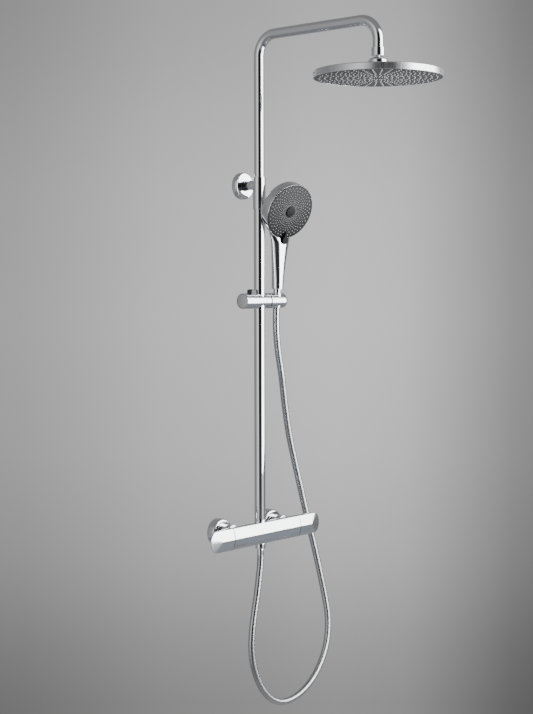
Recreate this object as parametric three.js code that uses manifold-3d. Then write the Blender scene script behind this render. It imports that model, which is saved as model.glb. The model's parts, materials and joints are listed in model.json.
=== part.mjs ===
// Thermostatic rainfall shower column: a bar mixer on two wall inlets, a two-piece riser with
// an overhead arm, a wall bracket, a sliding handset holder, a hand shower and its hose.
// Millimetres, X along the wall, +Y into the wall (wall plane y = 0), +Z up.
// Origin: on the wall plane, midway between the two inlets.
import * as THREE from 'three';
import { mergeVertices } from 'three/addons/utils/BufferGeometryUtils.js';
import { ConvexGeometry } from 'three/addons/geometries/ConvexGeometry.js';
import Module from 'manifold-3d';

const wasm = await Module();
wasm.setup();

// ---- driving dimensions -------------------------------------------------------------------
const GAP = 0.3;                      // clearance left between touching pieces
const INLET_X = 75;                   // half of the 150 mm inlet spacing
const ROSETTE_R = 26.5;
const ROSETTE_DEPTH = 18.5;
const RISER_Y = -49;                  // riser axis in front of the wall
const LOWER_R = 11;                   // lower riser tube, outer radius
const LOWER_BORE = 10.3;
const UPPER_R = 10;                   // upper riser and arm tube, outer radius
const UPPER_BORE = 9;
const LOWER_TOP = 689.5;
const MIXER_Z = -4.4;                 // height of the mixer axis
const MIXER_SEAM = 98.3;              // body to handle seam, both sides
const MIXER_END = 161.5;
const MIXER_HALF_H = 20.8;
const MIXER_EDGE_Y = -68.5;           // front edges of the mixer
const MIXER_RIDGE_Y = -74;            // front ridge
const MIXER_RIM_Y = -60;              // end of the straight rim behind the front edge
const MIXER_BACK_Y = -33.5;
const SPINDLE_Y = -51.5;              // axis of both handles
const BRACKET_Z = 681;
const BRACKET_DEPTH = 12.4;
const SLEEVE = { r: 12.5, low: 634, high: 697 };
const BARREL = { r: 9.5, half: 12, y: -37 };
const SLIDER_Z = 454;
const SLIDER_R = 15.3;
const SLIDER_LEFT = -50.5;
const SLIDER_SEAM = 21.7;
const HOLDER_RIGHT = 71;
const CONE = { x: 48, y: -52.4, tilt: 3.8, yaw: 7.6 };   // hand shower axis in the holder
const FACE = { up: 176.7, out: 28, pitch: 18.5, r: 54.3, rim: 56.5 };
const HEAD_BACK_Y = -62.6;            // flat back of the hand shower head, clear of the riser
const ARM_Z = 971;
const ARM_BEND = 40;
const ARM_LOW = 630;                  // foot of the upper tube inside the lower one
const DROP_Y = -338.8;                 // axis of the overhead shower
const HEAD = { r: 118.8, face: 116.4, low: 862.3, high: 875 };
const BALL_Z = 892;
const HOSE_R = 6.75;

// Hose centre line from the outlet ferrule, round the loop and up to the holder.
const HOSE_ROUTE = [
  [0, -50, -52.5], [-0.2, -50, -62], [-2.2, -50, -80], [-5.5, -50, -100], [-12, -50, -135],
  [-20, -50, -170],
  [-26, -50, -205], [-27.5, -50, -232], [-25, -50, -258], [-16, -50, -288], [1, -50, -319],
  [26, -50, -346], [60, -49, -363], [95, -48, -366], [134, -46, -358], [171, -44, -339],
  [201, -42, -310], [221, -39, -279], [231, -36, -249], [234, -33, -217], [230, -29, -180],
  [221, -25, -135], [210, -22, -90], [196, -20, -43], [180, -19, 5], [155, -19, 80],
  [139, -20, 125], [119, -23, 180], [105, -28, 218], [91, -34, 256], [76, -41, 300],
  [60, -45, 353], [50.7, -48.6, 395], [48, -50.6, 427], [48, -51.4, 439.6],
];

// ---- materials ----------------------------------------------------------------------------
function finish(color, roughness, metalness) {
  return new THREE.MeshStandardMaterial({ color, roughness, metalness });
}
const MATERIAL = {
  chrome: finish(0xd9dde0, 0.08, 1),
  satin: finish(0xc9ccd0, 0.3, 1),
  brass: finish(0xc9a254, 0.35, 1),
  steel: finish(0xaeb2b6, 0.35, 1),
  black: finish(0x101114, 0.2, 0),
  face: finish(0x4b4e53, 0.4, 0),
  plastic: finish(0xd8d8d4, 0.5, 0),
  rubber: finish(0x26272a, 0.8, 0),
  nozzle: finish(0x9b9ea3, 0.7, 0),
};

// ---- geometry helpers ---------------------------------------------------------------------
const group = new THREE.Group();
group.name = 'rainfall_shower_column';

// Welds a geometry, drops flat triangles and turns it to face outward.
function weld(geometry) {
  const bare = geometry.clone();
  bare.deleteAttribute('normal');
  bare.deleteAttribute('uv');
  bare.clearGroups();
  const welded = mergeVertices(bare, 1e-4);
  const p = welded.attributes.position;
  const index = welded.index.array;
  const kept = [];
  let volume = 0;
  const a = new THREE.Vector3();
  const b = new THREE.Vector3();
  const c = new THREE.Vector3();
  for (let i = 0; i < index.length; i += 3) {
    const [i0, i1, i2] = [index[i], index[i + 1], index[i + 2]];
    if (i0 === i1 || i1 === i2 || i2 === i0) continue;
    a.fromBufferAttribute(p, i0);
    b.fromBufferAttribute(p, i1);
    c.fromBufferAttribute(p, i2);
    volume += a.dot(b.cross(c)) / 6;
    kept.push(i0, i1, i2);
  }
  if (volume < 0) {
    for (let i = 0; i < kept.length; i += 3) {
      [kept[i], kept[i + 1]] = [kept[i + 1], kept[i]];
    }
  }
  welded.setIndex(kept);
  return welded;
}

function solid(geometry) {
  const g = weld(geometry);
  return new wasm.Manifold(new wasm.Mesh({
    numProp: 3,
    vertProperties: new Float32Array(g.attributes.position.array),
    triVerts: new Uint32Array(g.index.array),
  }));
}

function fromSolid(body) {
  const m = body.getMesh();
  const g = new THREE.BufferGeometry();
  g.setAttribute('position', new THREE.BufferAttribute(new Float32Array(m.vertProperties), 3));
  g.setIndex(Array.from(m.triVerts));
  return g;
}

// Adds one named node; a geometry or a boolean result is accepted.
function node(name, shape, material) {
  const geometry = shape.isBufferGeometry ? weld(shape) : fromSolid(shape);
  geometry.computeVertexNormals();
  const mesh = new THREE.Mesh(geometry, MATERIAL[material]);
  mesh.name = name;
  group.add(mesh);
  return mesh;
}

// Body of revolution from [radius, height] points; axis 'z', 'x' or 'out' (away from the wall).
function turned(points, axis, centre, sides = 24) {
  const profile = points.map(([r, h]) => new THREE.Vector2(r, h));
  const g = new THREE.LatheGeometry(profile, sides);
  if (axis === 'z') g.rotateX(Math.PI / 2);
  if (axis === 'x') g.rotateZ(-Math.PI / 2);
  if (axis === 'out') g.rotateX(Math.PI);
  return g.translate(...centre);
}

// Ring: the profile closes on itself.
function ring(points, axis, centre, sides = 20) {
  return turned([...points, points[0]], axis, centre, sides);
}

function rod(r, from, to, axis, centre, sides = 24) {
  return turned([[0, from], [r, from], [r, to], [0, to]], axis, centre, sides);
}

function block(x0, x1, y0, y1, z0, z1) {
  const g = new THREE.BoxGeometry(x1 - x0, y1 - y0, z1 - z0);
  return g.translate((x0 + x1) / 2, (y0 + y1) / 2, (z0 + z1) / 2);
}

// A polyline taken step by step, so straight runs cost a single step.
class Route extends THREE.Curve {
  constructor(points, tangents) {
    super();
    this.points = points;
    this.tangents = tangents;
  }

  getUtoTmapping(u) {
    return u;
  }

  getPoint(t) {
    const last = this.points.length - 1;
    const s = Math.min(Math.max(t, 0), 1) * last;
    const i = Math.min(Math.floor(s), last - 1);
    return this.points[i].clone().lerp(this.points[i + 1], s - i);
  }

  getTangent(t) {
    if (!this.tangents) return super.getTangent(t);
    return this.tangents[Math.round(t * (this.points.length - 1))].clone();
  }
}

function circle(r, sides) {
  const points = [];
  for (let i = 0; i < sides; i += 1) {
    const a = (2 * Math.PI * i) / sides;
    points.push(new THREE.Vector2(r * Math.cos(a), r * Math.sin(a)));
  }
  return points;
}

// Pipe along a list of points; bore 0 gives a solid cord.
function pipe(points, r, bore, sides, tangents) {
  const section = new THREE.Shape(circle(r, sides));
  if (bore > 0) section.holes.push(new THREE.Path(circle(bore, sides)));
  const extrudePath = new Route(points, tangents);
  return new THREE.ExtrudeGeometry(section, { steps: points.length - 1, extrudePath });
}

// ---- wall inlets --------------------------------------------------------------------------
for (const [side, x] of [['left', -INLET_X], ['right', INLET_X]]) {
  const at = [x, 0, 0];
  node(`inlet_rosette_${side}`, ring([
    [ROSETTE_R, 0], [ROSETTE_R, 14.8], [25.8, 17], [24, ROSETTE_DEPTH], [13.4, ROSETTE_DEPTH],
    [13.4, 16.8], [23.2, 16.8], [25, 14], [25, 0],
  ], 'out', at, 28), 'chrome');
  node(`inlet_union_${side}`, ring([
    [7.5, GAP], [10.3, GAP], [10.3, 14], [12.9, 16], [12.9, 27], [7.5, 27],
  ], 'out', at), 'brass');
  node(`union_washer_${side}`, ring([
    [8, 27.3], [12.6, 27.3], [12.6, 29], [8, 29],
  ], 'out', at, 20), 'rubber');
  const hexagon = new THREE.CylinderGeometry(17.32, 17.32, 13.5, 6);
  hexagon.translate(0, 25.75, 0).rotateX(Math.PI).translate(...at);
  const nut = solid(hexagon)
    .subtract(solid(rod(13.2, 10, 30.6, 'out', at)))
    .subtract(solid(rod(9.6, 10, 40, 'out', at)));
  node(`union_nut_${side}`, nut, 'chrome');
}

// ---- mixer --------------------------------------------------------------------------------
const MIXER_TOP = MIXER_Z + MIXER_HALF_H;
const MIXER_LOW = MIXER_Z - MIXER_HALF_H;

// Half ellipse behind the straight rim, as [y, z] points from top to bottom.
function mixerBack(count) {
  const points = [];
  for (let i = 0; i <= count; i += 1) {
    const a = Math.PI / 2 - (Math.PI * i) / count;
    points.push([
      MIXER_RIM_Y + (MIXER_BACK_Y - MIXER_RIM_Y) * Math.cos(a),
      MIXER_Z + MIXER_HALF_H * Math.sin(a),
    ]);
  }
  return points;
}

const mixerSection = [
  [MIXER_EDGE_Y, MIXER_LOW], [MIXER_RIDGE_Y, MIXER_Z], [MIXER_EDGE_Y, MIXER_TOP],
  ...mixerBack(12),
];

function mixerBar() {
  const shape = new THREE.Shape(mixerSection.map(([y, z]) => new THREE.Vector2(y, z)));
  const length = 2 * MIXER_SEAM;
  const g = new THREE.ExtrudeGeometry(shape, { depth: length, bevelEnabled: false, steps: 1 });
  const basis = new THREE.Matrix4().makeBasis(
    new THREE.Vector3(0, 1, 0), new THREE.Vector3(0, 0, 1), new THREE.Vector3(1, 0, 0));
  return g.applyMatrix4(basis).translate(-MIXER_SEAM, 0, 0);
}

let mixer = solid(mixerBar());
const spindleAt = [0, SPINDLE_Y, MIXER_Z];
for (const sign of [-1, 1]) {
  const at = [sign * INLET_X, 0, 0];
  mixer = mixer.add(solid(turned([
    [0, 29.3], [12.7, 29.3], [12.7, 30.3], [9.2, 30.3], [9.2, 33], [17.5, 33], [17.5, 46],
    [0, 46],
  ], 'out', at, 28)));
  mixer = mixer.subtract(solid(rod(7.5, 20, 50, 'out', at, 20)));
  const from = sign > 0 ? 52 : -MIXER_SEAM - 5;
  const to = sign > 0 ? MIXER_SEAM + 5 : -52;
  mixer = mixer.subtract(solid(rod(13.5, from, to, 'x', spindleAt)));
}
mixer = mixer
  .subtract(solid(rod(8, -60, 60, 'x', spindleAt, 16)))
  .subtract(solid(rod(LOWER_R + GAP, 5, 40, 'z', [0, RISER_Y, 0])))
  .subtract(solid(rod(8, -4, 20, 'z', [0, RISER_Y, 0], 20)))
  .subtract(solid(rod(8.4, -40, -14, 'z', [0, -50, 0], 20)))
  .subtract(solid(rod(6, -30, -4, 'z', [0, -50, 0], 16)));
node('mixer_body', mixer, 'satin');

// Handle: front facets meeting at the ridge end, a rounded end and a back that tapers in.
function handleHull(sign) {
  const seam = MIXER_SEAM + 0.6;
  const points = mixerSection.map(([y, z]) => [seam, y, z]);
  points.push([132.4, MIXER_RIDGE_Y, MIXER_Z]);
  const levels = [
    { y: MIXER_EDGE_Y, x: 146, rx: MIXER_END - 146, rz: MIXER_HALF_H },
    { y: -65, x: 145, rx: 14.5, rz: MIXER_HALF_H },
    { y: -58, x: 137, rx: 14, rz: 19.6 },
    { y: -48, x: 124, rx: 15, rz: 15.5 },
  ];
  for (const level of levels) {
    for (let i = 0; i <= 10; i += 1) {
      const a = Math.PI / 2 - (Math.PI * i) / 10;
      points.push([
        level.x + level.rx * Math.cos(a), level.y, MIXER_Z + level.rz * Math.sin(a),
      ]);
    }
  }
  return new ConvexGeometry(points.map(([x, y, z]) => new THREE.Vector3(sign * x, y, z)));
}

for (const [name, sign] of [['flow', -1], ['temperature', 1]]) {
  const span = (r, a, b, sides) => rod(
    r, Math.min(sign * a, sign * b), Math.max(sign * a, sign * b), 'x', spindleAt, sides);
  const handle = solid(handleHull(sign))
    .subtract(solid(span(13, 90, 103, 20)))
    .subtract(solid(span(4.8, 90, 118.3, 16)));
  node(`${name}_handle`, handle, 'satin');
  node(`${name}_cartridge`, solid(span(13.2, 53, 97.7, 24))
    .subtract(solid(span(4.8, 86, 105, 16))), 'brass');
  node(`${name}_spindle`, span(4.5, 86.5, 118, 16), 'brass');
}

// ---- riser and overhead arm ---------------------------------------------------------------
const riserAt = [0, RISER_Y, 0];
node('riser_spigot', ring([[7.5, 5.4], [9.9, 5.4], [9.9, 30], [7.5, 30]], 'z', riserAt), 'brass');
node('lower_riser_tube', ring([
  [LOWER_BORE, 5.4], [LOWER_R, 5.4], [LOWER_R, LOWER_TOP], [LOWER_BORE, LOWER_TOP],
], 'z', riserAt), 'chrome');

function armRoute(low) {
  const points = [new THREE.Vector3(0, RISER_Y, ARM_LOW)];
  const steps = 7;
  const bendZ = ARM_Z - ARM_BEND;
  for (let i = 0; i <= steps; i += 1) {
    const a = (Math.PI / 2) * (i / steps);
    points.push(new THREE.Vector3(
      0, RISER_Y - ARM_BEND * (1 - Math.cos(a)), bendZ + ARM_BEND * Math.sin(a)));
  }
  for (let i = 0; i <= steps; i += 1) {
    const a = (Math.PI / 2) * (i / steps);
    points.push(new THREE.Vector3(
      0, DROP_Y + ARM_BEND * (1 - Math.sin(a)), bendZ + ARM_BEND * Math.cos(a)));
  }
  points.push(new THREE.Vector3(0, DROP_Y, low));
  return points;
}
node('upper_riser_arm', pipe(armRoute(906.3), UPPER_R, UPPER_BORE, 16), 'chrome');

// ---- wall bracket -------------------------------------------------------------------------
const bracketAt = [0, 0, BRACKET_Z];
let plate = solid(turned([
  [0, 0], [20, 0], [20, 4], [6, 4], [6, 12], [0, 12],
], 'out', bracketAt));
for (const [side, x] of [['left', -13], ['right', 13]]) {
  const at = [x, 0, BRACKET_Z];
  plate = plate.subtract(solid(rod(2.6, -5, 5, 'out', at, 12)));
  node(`plate_screw_${side}`, turned([
    [0, GAP], [2.3, GAP], [2.3, 4.3], [4.4, 4.3], [4.4, 5.6], [2.6, 6.8], [0, 6.8],
  ], 'out', at, 12), 'steel');
}
node('bracket_wall_plate', plate, 'steel');
node('bracket_rosette', ring([
  [ROSETTE_R, 0], [ROSETTE_R, 10], [25.6, 11.7], [23.8, BRACKET_DEPTH], [8.9, BRACKET_DEPTH],
  [8.9, 10.8], [23.2, 10.8], [25, 9.4], [25, 0],
], 'out', bracketAt, 28), 'chrome');
node('bracket_arm', turned([
  [0, 12.5], [6.3, 12.5], [6.3, 7.5], [8.5, 7.5], [8.5, 12.7], [10, 12.7], [10, 15],
  [8.5, 15], [8.5, 27.1], [0, 27.1],
], 'out', bracketAt), 'chrome');
const barrelAt = [0, BARREL.y, BRACKET_Z];
const sleeve = solid(rod(SLEEVE.r, SLEEVE.low, SLEEVE.high, 'z', riserAt, 28))
  .add(solid(rod(BARREL.r, -BARREL.half, BARREL.half, 'x', barrelAt)))
  .subtract(solid(rod(LOWER_R + GAP, 600, 690, 'z', riserAt)))
  .subtract(solid(rod(UPPER_R + GAP, 680, 720, 'z', riserAt)))
  .subtract(solid(rod(6.2, -20, -10.2, 'x', barrelAt, 20)));
node('bracket_sleeve', sleeve, 'chrome');
node('bracket_cap', rod(5.9, -12, -10.5, 'x', barrelAt, 20), 'satin');

// ---- slider and holder --------------------------------------------------------------------
for (const [side, sign] of [['upper', 1], ['lower', -1]]) {
  const z = (h) => SLIDER_Z + sign * h;
  node(`slider_bush_${side}`, ring([
    [11.3, z(0.2)], [13, z(0.2)], [13, z(7.6)], [11.3, z(7.6)],
  ], 'z', riserAt), 'black');
}
const sliderAt = [0, RISER_Y, SLIDER_Z];
const BUTTON = { x0: -30.2, x1: -15.8, half: 6.2, low: 459.6, shoulder: 472.5, crown: 4.5 };
const sliderBody = solid(turned([
  [0, SLIDER_LEFT], [14.6, SLIDER_LEFT], [SLIDER_R, SLIDER_LEFT + 0.8],
  [SLIDER_R, SLIDER_SEAM - 0.4], [0, SLIDER_SEAM - 0.4],
], 'x', sliderAt, 32))
  .subtract(solid(rod(13.3, 400, 500, 'z', riserAt)))
  .subtract(solid(rod(13.2, -60, -46.5, 'x', sliderAt)))
  .subtract(solid(rod(4.3, 15.5, 30, 'x', sliderAt, 16)))
  .subtract(solid(block(
    BUTTON.x0 - 0.4, BUTTON.x1 + 0.4, RISER_Y - 6.6, RISER_Y + 6.6, 456, 490)));
node('slider_body', sliderBody, 'satin');
node('slider_end_cap', rod(12.9, -50.2, -46.8, 'x', sliderAt), 'steel');
node('holder_pivot', rod(4, 15.8, 36, 'x', sliderAt, 16), 'steel');

// Release button: flat sides and a crowned top.
function buttonShape() {
  const mid = (BUTTON.x0 + BUTTON.x1) / 2;
  const half = (BUTTON.x1 - BUTTON.x0) / 2;
  const outline = [[-half, BUTTON.low], [half, BUTTON.low], [half, BUTTON.shoulder]];
  for (let i = 1; i < 6; i += 1) {
    const a = (Math.PI * i) / 6;
    outline.push([half * Math.cos(a), BUTTON.shoulder + BUTTON.crown * Math.sin(a)]);
  }
  outline.push([-half, BUTTON.shoulder]);
  const shape = new THREE.Shape(outline.map(([x, z]) => new THREE.Vector2(x, z)));
  const g = new THREE.ExtrudeGeometry(shape, { depth: 2 * BUTTON.half, bevelEnabled: false });
  return g.rotateX(Math.PI / 2).translate(mid, RISER_Y + BUTTON.half, 0);
}
node('release_button', buttonShape(), 'black');

// Frame of the hand shower: local +Z up the handle, local -Y out of its front.
const tilt = THREE.MathUtils.degToRad(CONE.tilt);
const coneFrame = new THREE.Matrix4()
  .makeTranslation(CONE.x, CONE.y, SLIDER_Z)
  .multiply(new THREE.Matrix4().makeRotationX(tilt));
const handFrame = coneFrame.clone()
  .multiply(new THREE.Matrix4().makeRotationZ(THREE.MathUtils.degToRad(-CONE.yaw)));
const faceFrame = handFrame.clone()
  .multiply(new THREE.Matrix4().makeTranslation(0, -FACE.out, FACE.up))
  .multiply(new THREE.Matrix4().makeRotationX(THREE.MathUtils.degToRad(FACE.pitch)));

function coneTurned(points, sides) {
  return turned(points, 'z', [0, 0, 0], sides).applyMatrix4(coneFrame);
}

// Heights here run backward from the spray face into the head.
function headTurned(points, sides = 36) {
  const back = points.map(([r, t]) => [r, -t]);
  return turned(back, 'out', [0, 0, 0], sides).applyMatrix4(faceFrame);
}

const holder = solid(turned([
  [0, SLIDER_SEAM + 0.4], [SLIDER_R, SLIDER_SEAM + 0.4], [SLIDER_R, HOLDER_RIGHT - 7],
  [14.7, HOLDER_RIGHT - 3.8], [12.6, HOLDER_RIGHT - 1.4], [9.4, HOLDER_RIGHT], [0, HOLDER_RIGHT],
], 'x', sliderAt, 32))
  .subtract(solid(rod(4.3, 10, 36.4, 'x', sliderAt, 16)))
  .subtract(solid(coneTurned([
    [0, -30], [8.65, -30], [8.95, -15], [9.65, 17], [9.9, 30], [0, 30],
  ], 28)))
  .subtract(solid(block(CONE.x - 7.1, CONE.x + 7.1, CONE.y, -30, 430, 480)));
node('handset_holder', holder, 'satin');

// ---- hand shower --------------------------------------------------------------------------
node('hose_cone_nut', coneTurned([
  [4.5, -13.5], [8.6, -13.5], [9.25, 14.6], [7.5, 15.8], [7.5, 32], [4.5, 32], [4.5, -13.5],
], 24), 'chrome');
node('handset_washer', coneTurned([
  [4.6, 32.3], [7.4, 32.3], [7.4, 34.2], [4.6, 34.2], [4.6, 32.3],
], 16), 'rubber');

// Handle: a hull over ellipses [height, half width, half depth, offset to the front].
function handleBody() {
  const sections = [
    [22.9, 10.8, 10.8, 0], [24, 11.6, 11.6, 0], [60, 14.2, 11.7, 0], [95, 17.6, 11.9, 0.2],
    [121, 22.5, 11.2, 1], [140, 29, 9.5, 5], [160, 32, 8, 10],
  ];
  const points = [];
  for (const [h, rx, ry, out] of sections) {
    for (let i = 0; i < 20; i += 1) {
      const a = (2 * Math.PI * i) / 20;
      points.push(new THREE.Vector3(rx * Math.cos(a), ry * Math.sin(a) - out, h));
    }
  }
  return new ConvexGeometry(points).applyMatrix4(handFrame);
}

// Spray selector, pointed at the top and round at the bottom, grown by a margin. Depths run
// out from the selector's back, which leans from the handle over the edge of the spray face.
const SELECTOR = { low: 113, out: 12.4, lean: 8.7, depth: 3.6 };
const selectorFrame = handFrame.clone()
  .multiply(new THREE.Matrix4().makeTranslation(0, -SELECTOR.out, SELECTOR.low))
  .multiply(new THREE.Matrix4().makeRotationX(THREE.MathUtils.degToRad(SELECTOR.lean)));

function selectorBlock(margin, from, to) {
  const outline = [[0, 25 + margin]];
  const right = [[3.6, 19], [6.4, 13], [7.4, 8], [6.6, 3.5], [4, 0.8]];
  const grown = right.map(([x, z]) => [x + margin, z < 5 ? z - margin : z]);
  outline.push(...grown, [0, -margin]);
  outline.push(...grown.reverse().map(([x, z]) => [-x, z]));
  const shape = new THREE.Shape(outline.map(([x, z]) => new THREE.Vector2(x, z)));
  const g = new THREE.ExtrudeGeometry(shape, { depth: to - from, bevelEnabled: false });
  return g.rotateX(Math.PI / 2).translate(0, -from, 0).applyMatrix4(selectorFrame);
}

// Everything behind the flat back plane, moved out by a wall thickness for the hollow.
function behindHead(wall) {
  return solid(block(-40, 140, HEAD_BACK_Y - wall, 40, 500, 760));
}

const headOuter = solid(headTurned([
  [0, 3.3], [FACE.rim, 3.3], [FACE.rim, 20.4], [55.2, 23.2], [50.5, 25.2], [32, 27.4], [0, 28.6],
])).subtract(behindHead(0));
const headHollow = solid(headTurned([
  [0, -14], [56.9, -14], [56.9, 3.2], [54, 3.2], [54, 19.2], [50, 21.8], [32, 24.4], [0, 25.6],
])).subtract(behindHead(2.6));
const handset = solid(handleBody())
  .add(headOuter)
  .subtract(headHollow)
  .subtract(solid(turned([
    [0, 10], [7.8, 10], [7.8, 34.6], [5.5, 34.6], [5.5, 150], [0, 150],
  ], 'z', [0, 0, 0], 20).applyMatrix4(handFrame)))
  .subtract(solid(selectorBlock(0.4, -2, 30)));
node('handset_shell', handset, 'chrome');
node('handset_rim', headTurned([
  [54.6, 0.4], [55.2, 0], [56, 0], [FACE.rim, 0.6], [FACE.rim, 3], [54.6, 3], [54.6, 0.4],
]), 'chrome');
node('handset_face', headTurned([[0, 0.9], [FACE.r, 0.9], [FACE.r, 3], [0, 3]]), 'face');
node('handset_centre', headTurned([
  [0, -0.8], [9.4, -0.8], [10, -0.3], [10, 0.6], [0, 0.6],
], 24), 'face');
node('handset_mat', headTurned([[0, 3.4], [52, 3.4], [52, 4.9], [0, 4.9]], 28), 'nozzle');
node('spray_engine', headTurned([
  [0, 5.3], [38, 5.3], [38, 10], [24, 14], [0, 14],
], 24), 'plastic');
node('selector_button', selectorBlock(0, 0, SELECTOR.depth), 'black');

// ---- overhead shower ----------------------------------------------------------------------
const dropAt = [0, DROP_Y, 0];
node('arm_end_nut', ring([
  [5.4, 902.4], [11.4, 902.4], [12.2, 903.2], [12.2, 916.6], [11.3, 917.5], [10.3, 917.5],
  [10.3, 906], [5.4, 906],
], 'z', dropAt), 'chrome');

// Points of an arc about the ball centre, angles in degrees above the horizontal.
function ballArc(r, from, to, count) {
  const points = [];
  for (let i = 0; i <= count; i += 1) {
    const a = THREE.MathUtils.degToRad(from + ((to - from) * i) / count);
    points.push([r * Math.cos(a), BALL_Z + r * Math.sin(a)]);
  }
  return points;
}
const BALL_R = 8.2;
const SEAT = { inner: 8.5, outer: 9.4, span: 22 };
node('ball_stem', ring([
  ...ballArc(BALL_R, -70, 60, 7), [4, 900], [4, 913], [2.4, 913], [2.4, 884.5],
], 'z', dropAt), 'chrome');
node('ball_seat', ring([
  ...ballArc(SEAT.outer, -SEAT.span, SEAT.span, 3),
  ...ballArc(SEAT.inner, SEAT.span, -SEAT.span, 3),
], 'z', dropAt), 'plastic');
node('head_boss', ring([
  ...ballArc(SEAT.outer + GAP, 0, 46, 4), [6.6, 899.7], [9, 899.7], [12.5, 898.6], [16.2, 896.4],
  [17.5, 894.4], [17.5, HEAD.high + 0.4], [9.7, HEAD.high + 0.4],
], 'z', dropAt), 'chrome');
node('ball_retainer', ring([
  [5, 875.6], [9.4, 875.6], [9.4, 880.5], [5, 880.5],
], 'z', dropAt), 'plastic');
node('overhead_shell', ring([
  [6, HEAD.high], [HEAD.r - 1.6, HEAD.high], [HEAD.r, HEAD.high - 1.2], [HEAD.r, HEAD.low],
  [HEAD.face + 0.4, HEAD.low], [HEAD.face + 0.4, 871.6], [115, 872.9], [6, 872.9],
], 'z', dropAt, 48), 'satin');
node('overhead_face', rod(HEAD.face, HEAD.low + 0.4, 864.9, 'z', dropAt, 48), 'face');
node('overhead_mat', rod(110, 865.3, 867.3, 'z', dropAt, 40), 'nozzle');

// ---- hose ---------------------------------------------------------------------------------
const outletAt = [0, -50, 0];
node('outlet_nipple', ring([
  [5, -35], [8.1, -35], [8.1, -14.4], [5, -14.4],
], 'z', outletAt, 20), 'brass');
node('hose_nut', ring([
  [8.5, -25.4], [9.6, -25.4], [10.3, -26.2], [10.3, -37.2], [9.6, -38], [5.4, -38],
  [5.4, -36], [8.5, -36],
], 'z', outletAt), 'chrome');
node('hose_ferrule', ring([
  [3.5, -35.6], [5, -35.6], [5, -38.3], [7, -38.3], [7, -52], [3.5, -52],
], 'z', outletAt, 20), 'chrome');

const hoseCurve = new THREE.CatmullRomCurve3(
  HOSE_ROUTE.map(([x, y, z]) => new THREE.Vector3(x, y, z)), false, 'centripetal');
const HOSE_PARTS = [
  ['hose_lower', 0, 0.53, 26], ['hose_rise', 0.53, 0.75, 8],
  ['hose_upper', 0.75, 0.925, 7], ['hose_top', 0.925, 1, 4],
];
const HOSE_JOIN = 0.00015;            // half of the hairline gap where two lengths meet
for (const [name, from, to, steps] of HOSE_PARTS) {
  const start = from + (from > 0 ? HOSE_JOIN : 0);
  const end = to - (to < 1 ? HOSE_JOIN : 0);
  const points = [];
  const tangents = [];
  for (let i = 0; i <= steps; i += 1) {
    const u = start + ((end - start) * i) / steps;
    points.push(hoseCurve.getPointAt(u));
    tangents.push(hoseCurve.getTangentAt(u));
  }
  node(name, pipe(points, HOSE_R, 0, 10, tangents), 'chrome');
}

export default group;
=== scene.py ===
import json
import math

import bmesh
import bpy
import numpy as np
from mathutils import Matrix, Vector


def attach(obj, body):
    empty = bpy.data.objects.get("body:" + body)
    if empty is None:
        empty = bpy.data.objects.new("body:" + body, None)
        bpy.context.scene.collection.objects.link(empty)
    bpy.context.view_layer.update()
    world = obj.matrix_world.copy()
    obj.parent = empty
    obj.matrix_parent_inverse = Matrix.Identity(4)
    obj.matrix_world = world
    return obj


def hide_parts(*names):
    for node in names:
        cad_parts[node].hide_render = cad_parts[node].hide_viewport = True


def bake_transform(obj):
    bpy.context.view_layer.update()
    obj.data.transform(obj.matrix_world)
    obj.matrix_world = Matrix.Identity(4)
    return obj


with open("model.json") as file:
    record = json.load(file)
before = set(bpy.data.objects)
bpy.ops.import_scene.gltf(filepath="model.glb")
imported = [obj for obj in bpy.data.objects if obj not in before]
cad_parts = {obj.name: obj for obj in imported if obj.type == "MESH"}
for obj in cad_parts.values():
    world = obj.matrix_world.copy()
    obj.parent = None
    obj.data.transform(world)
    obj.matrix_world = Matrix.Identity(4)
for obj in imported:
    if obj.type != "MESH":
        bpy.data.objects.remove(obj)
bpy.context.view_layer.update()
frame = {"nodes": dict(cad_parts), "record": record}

MM = 0.001

# ---------------------------------------------------------------- camera
# fitted to the photograph: the turn away from the wall's normal, the tilt and the roll
YAW, PITCH, ROLL = (math.radians(a) for a in (48.7, -3.228, -0.123))
CAMERA_PLACE = (-2.0935, -1.9062, 0.5009)
LENS_MM, SENSOR_MM = 71.48, 36
LEVEL_FORWARD = Vector((math.sin(YAW), math.cos(YAW), 0))
FORWARD = Vector((*(LEVEL_FORWARD.xy * math.cos(PITCH)), math.sin(PITCH)))
SIDE = Vector((math.cos(YAW), -math.sin(YAW), 0))
OVER = SIDE.cross(FORWARD)
RIGHT = math.cos(ROLL) * SIDE + math.sin(ROLL) * OVER
UP = -math.sin(ROLL) * SIDE + math.cos(ROLL) * OVER
camera_data = bpy.data.cameras.new("camera")
camera_data.lens = LENS_MM
camera_data.sensor_width = SENSOR_MM
camera_data.sensor_fit = "AUTO"
camera = bpy.data.objects.new("camera", camera_data)
bpy.context.scene.collection.objects.link(camera)
camera.matrix_world = Matrix.Translation(CAMERA_PLACE) @ Matrix((
    (RIGHT.x, UP.x, -FORWARD.x, 0),
    (RIGHT.y, UP.y, -FORWARD.y, 0),
    (RIGHT.z, UP.z, -FORWARD.z, 0),
    (0, 0, 0, 1)))
bpy.context.scene.camera = camera

# ---------------------------------------------------------------- dimensions (mm)
# x runs along the wall, y is 0 on it and negative in front, z is 0 at the wall inlets
RISER_Y = -49
INLET_X = 75
# the mixer's bar: its middle height, and where its handles start
MIXER_Z, MIXER_HALF_H = -4.4, 20.8
MIXER_SEAM, SEAM_GAP = 98.3, 0.9
EDGE_Y, RIDGE_Y, RIM_Y, BACK_Y = -68.5, -74, -60, -33.5
BRACKET_Z, BRACKET_Y = 681, -37
# the barrel that slides on the riser, and the cone that holds the hand shower
SLIDER_Z, BARREL_R = 454, 15.3
HOLDER_X, HOLDER_Y, HOLDER_LEAN = 48, -52.4, 3.8
HEAD_BACK_Y = -62.6
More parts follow.
